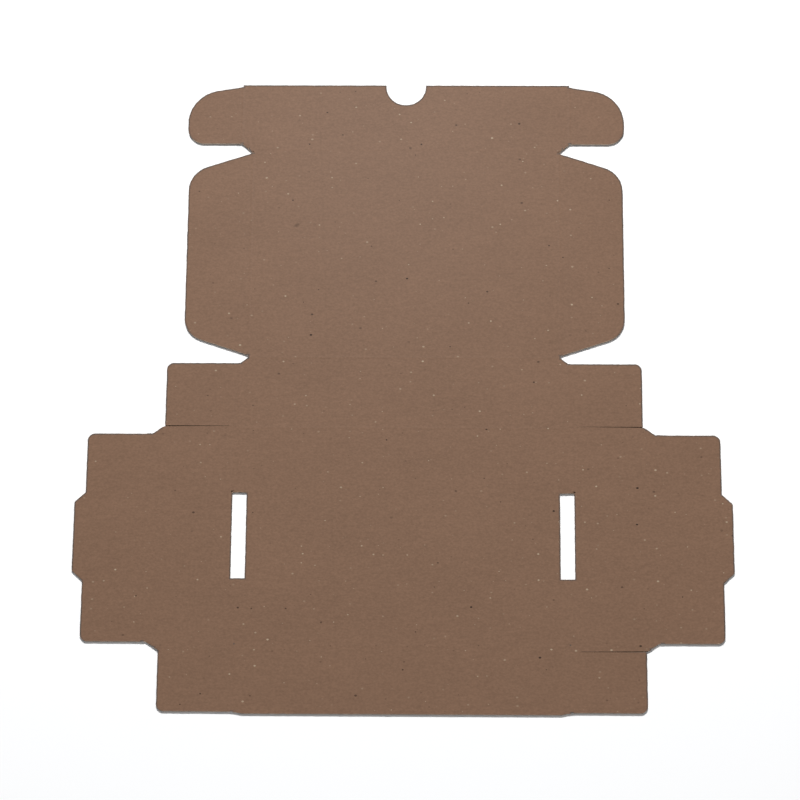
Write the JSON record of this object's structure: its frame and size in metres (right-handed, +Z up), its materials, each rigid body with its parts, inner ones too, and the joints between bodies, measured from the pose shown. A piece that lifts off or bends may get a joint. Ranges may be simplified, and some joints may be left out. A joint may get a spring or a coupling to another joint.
{
  "type": "flat mailer box blank",
  "caption": "Flat die-cut corrugated mailer box blank with hinged walls, roll-over sides with locking tabs, tuck-in dust flaps and a lid with eared front flap.",
  "frame": {"origin": "middle of the base panel on the underside of the board", "axes": "+X along the box, +Y from the front wall to the lid, +Z up out of the inside face"},
  "size_m": [0.331, 0.3355, 0.0017],
  "materials": {
    "kraft_board": "matte"
  },
  "bodies": {
    "base_panel": {"base_panel": "kraft_board"},
    "front_wall": {"front_wall": "kraft_board"},
    "rear_wall": {"rear_wall": "kraft_board"},
    "lid": {"lid": "kraft_board"},
    "front_flap": {"front_flap": "kraft_board"},
    "side_wall_right": {"side_wall_right": "kraft_board"},
    "side_wall_left": {"side_wall_left": "kraft_board"},
    "rim_right": {"rim_right": "kraft_board"},
    "rim_left": {"rim_left": "kraft_board"},
    "inner_wall_right": {"inner_wall_right": "kraft_board"},
    "inner_wall_left": {"inner_wall_left": "kraft_board"},
    "front_dust_flap_right": {"front_dust_flap_right": "kraft_board"},
    "front_dust_flap_left": {"front_dust_flap_left": "kraft_board"},
    "rear_dust_flap_right": {"rear_dust_flap_right": "kraft_board"},
    "rear_dust_flap_left": {"rear_dust_flap_left": "kraft_board"},
    "lid_side_flap_right": {"lid_side_flap_right": "kraft_board"},
    "lid_side_flap_left": {"lid_side_flap_left": "kraft_board"},
    "ear_right": {"ear_right": "kraft_board"},
    "ear_left": {"ear_left": "kraft_board"}
  },
  "joints": [
    {"name": "front_wall_fold", "type": "hinge", "parent": "base_panel", "child": "front_wall", "pos_m": [0, -0.0563, 0.00085], "axis": [-1, 0, 0], "range_deg": [0, 90]},
    {"name": "rear_wall_fold", "type": "hinge", "parent": "base_panel", "child": "rear_wall", "pos_m": [0, 0.0563, 0.00085], "axis": [1, 0, 0], "range_deg": [0, 90]},
    {"name": "lid_fold", "type": "hinge", "parent": "rear_wall", "child": "lid", "pos_m": [0, 0.0938, 0.00085], "axis": [1, 0, 0], "range_deg": [0, 90]},
    {"name": "front_flap_fold", "type": "hinge", "parent": "lid", "child": "front_flap", "pos_m": [0, 0.20835, 0.00085], "axis": [1, 0, 0], "range_deg": [0, 90]},
    {"name": "side_wall_right_fold", "type": "hinge", "parent": "base_panel", "child": "side_wall_right", "pos_m": [0.0875, 0, 0.00085], "axis": [0, -1, 0], "range_deg": [0, 90]},
    {"name": "rim_right_fold", "type": "hinge", "parent": "side_wall_right", "child": "rim_right", "pos_m": [0.12305, 0, 0.00085], "axis": [0, -1, 0], "range_deg": [0, 90]},
    {"name": "inner_wall_right_fold", "type": "hinge", "parent": "rim_right", "child": "inner_wall_right", "pos_m": [0.1289, 0, 0.00085], "axis": [0, -1, 0], "range_deg": [0, 90]},
    {"name": "front_dust_flap_right_fold", "type": "hinge", "parent": "front_wall", "child": "front_dust_flap_right", "pos_m": [0.0836, -0.0743, 0.00085], "axis": [0, -1, 0], "range_deg": [0, 90]},
    {"name": "rear_dust_flap_right_fold", "type": "hinge", "parent": "rear_wall", "child": "rear_dust_flap_right", "pos_m": [0.0836, 0.0743, 0.00085], "axis": [0, -1, 0], "range_deg": [0, 90]},
    {"name": "lid_side_flap_right_fold", "type": "hinge", "parent": "lid", "child": "lid_side_flap_right", "pos_m": [0.0797, 0.1508, 0.00085], "axis": [0, -1, 0], "range_deg": [0, 90]},
    {"name": "ear_right_fold", "type": "hinge", "parent": "front_flap", "child": "ear_right", "pos_m": [0.08555, 0.22835, 0.00085], "axis": [0, -1, 0], "range_deg": [0, 90]},
    {"name": "side_wall_left_fold", "type": "hinge", "parent": "base_panel", "child": "side_wall_left", "pos_m": [-0.0875, 0, 0.00085], "axis": [0, 1, 0], "range_deg": [0, 90]},
    {"name": "rim_left_fold", "type": "hinge", "parent": "side_wall_left", "child": "rim_left", "pos_m": [-0.12305, 0, 0.00085], "axis": [0, 1, 0], "range_deg": [0, 90]},
    {"name": "inner_wall_left_fold", "type": "hinge", "parent": "rim_left", "child": "inner_wall_left", "pos_m": [-0.1289, 0, 0.00085], "axis": [0, 1, 0], "range_deg": [0, 90]},
    {"name": "front_dust_flap_left_fold", "type": "hinge", "parent": "front_wall", "child": "front_dust_flap_left", "pos_m": [-0.0836, -0.0743, 0.00085], "axis": [0, 1, 0], "range_deg": [0, 90]},
    {"name": "rear_dust_flap_left_fold", "type": "hinge", "parent": "rear_wall", "child": "rear_dust_flap_left", "pos_m": [-0.0836, 0.0743, 0.00085], "axis": [0, 1, 0], "range_deg": [0, 90]},
    {"name": "lid_side_flap_left_fold", "type": "hinge", "parent": "lid", "child": "lid_side_flap_left", "pos_m": [-0.0797, 0.1508, 0.00085], "axis": [0, 1, 0], "range_deg": [0, 90]},
    {"name": "ear_left_fold", "type": "hinge", "parent": "front_flap", "child": "ear_left", "pos_m": [-0.08555, 0.22835, 0.00085], "axis": [0, 1, 0], "range_deg": [0, 90]}
  ]
}
